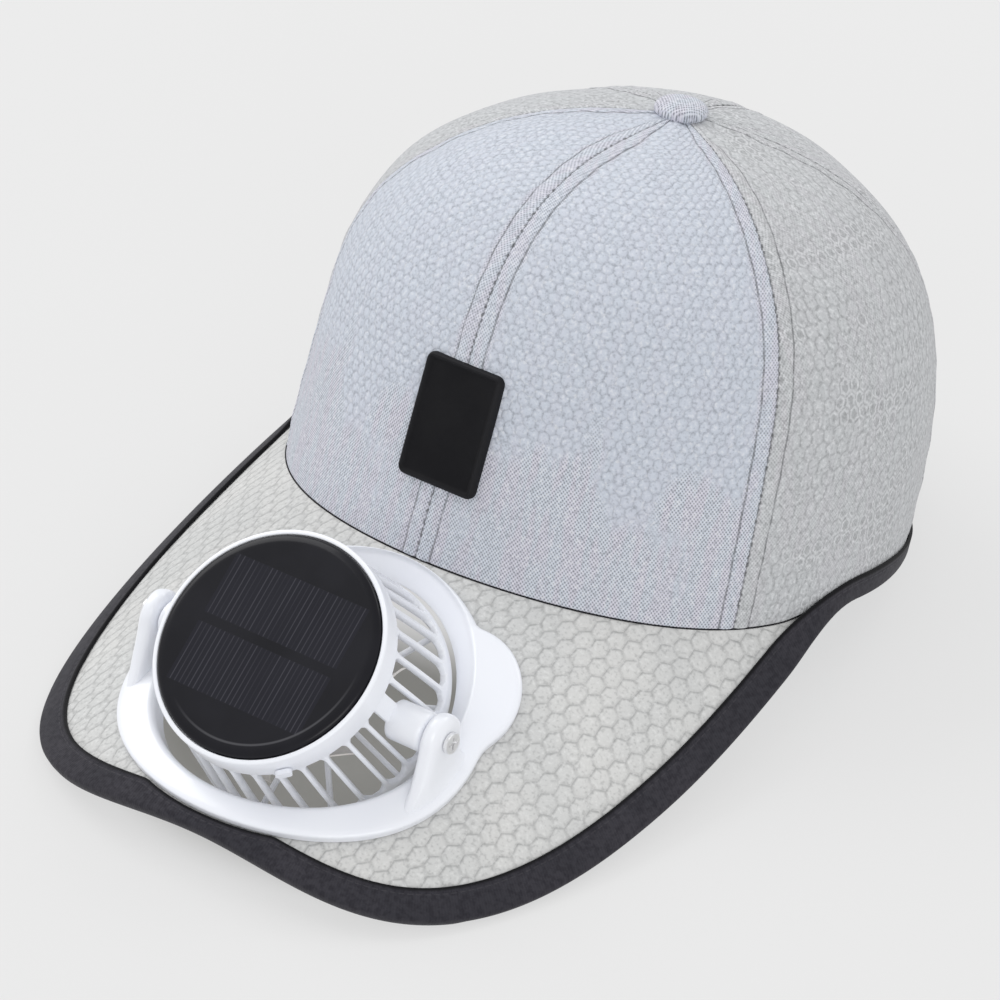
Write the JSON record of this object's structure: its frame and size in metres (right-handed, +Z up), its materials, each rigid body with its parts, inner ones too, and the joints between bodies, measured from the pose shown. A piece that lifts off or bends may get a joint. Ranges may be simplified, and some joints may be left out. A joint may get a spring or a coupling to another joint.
{
  "type": "baseball cap with a fan in its brim",
  "caption": "Baseball cap of mesh cloth with a solar-topped fan that spins and tilts in an oval frame set through its brim.",
  "frame": {"origin": "on the surface that the cap rests on, under the middle of its bounding box", "axes": "+Z up, -Y the way the brim points, +X towards the wearer's left"},
  "size_m": [0.191, 0.2862, 0.1365],
  "materials": {
    "front_mesh": "pale bluish grey mesh over fine cloth",
    "side_mesh": "pale grey open honeycomb mesh",
    "brim_mesh": "pale warm grey honeycomb mesh over a board",
    "edge_tape": "charcoal woven tape",
    "label_rubber": "black moulded rubber",
    "white_plastic": "glossy white, slightly blue",
    "fan_plastic": "satin off-white",
    "solar_disc": "black solar cells under clear resin",
    "screw_steel": "plain steel"
  },
  "bodies": {
    "hat": {"crown_front_left": "front_mesh", "crown_side_left": "side_mesh", "crown_back_left": "side_mesh", "crown_back_right": "side_mesh", "crown_side_right": "side_mesh", "crown_front_right": "front_mesh", "top_button": "front_mesh", "brim": "brim_mesh", "brim_binding": "edge_tape", "hem_binding": "edge_tape", "front_label": "label_rubber", "fan_frame": "white_plastic"},
    "fan": {"fan_housing": "white_plastic", "solar_panel": "solar_disc", "power_button": "white_plastic", "ear_screw_left": "screw_steel", "ear_screw_right": "screw_steel"},
    "rotor": {"fan_rotor": "fan_plastic"}
  },
  "joints": [
    {"name": "fan_tilt", "type": "hinge", "parent": "hat", "child": "fan", "pos_m": [0, -0.09582, 0.038], "axis": [1, 0, 0], "range_deg": [-20, 15]},
    {"name": "fan_spin", "type": "hinge", "parent": "fan", "child": "rotor", "pos_m": [0, -0.09582, 0.038], "axis": [0, -0.5833, 0.8123], "continuous": true}
  ]
}
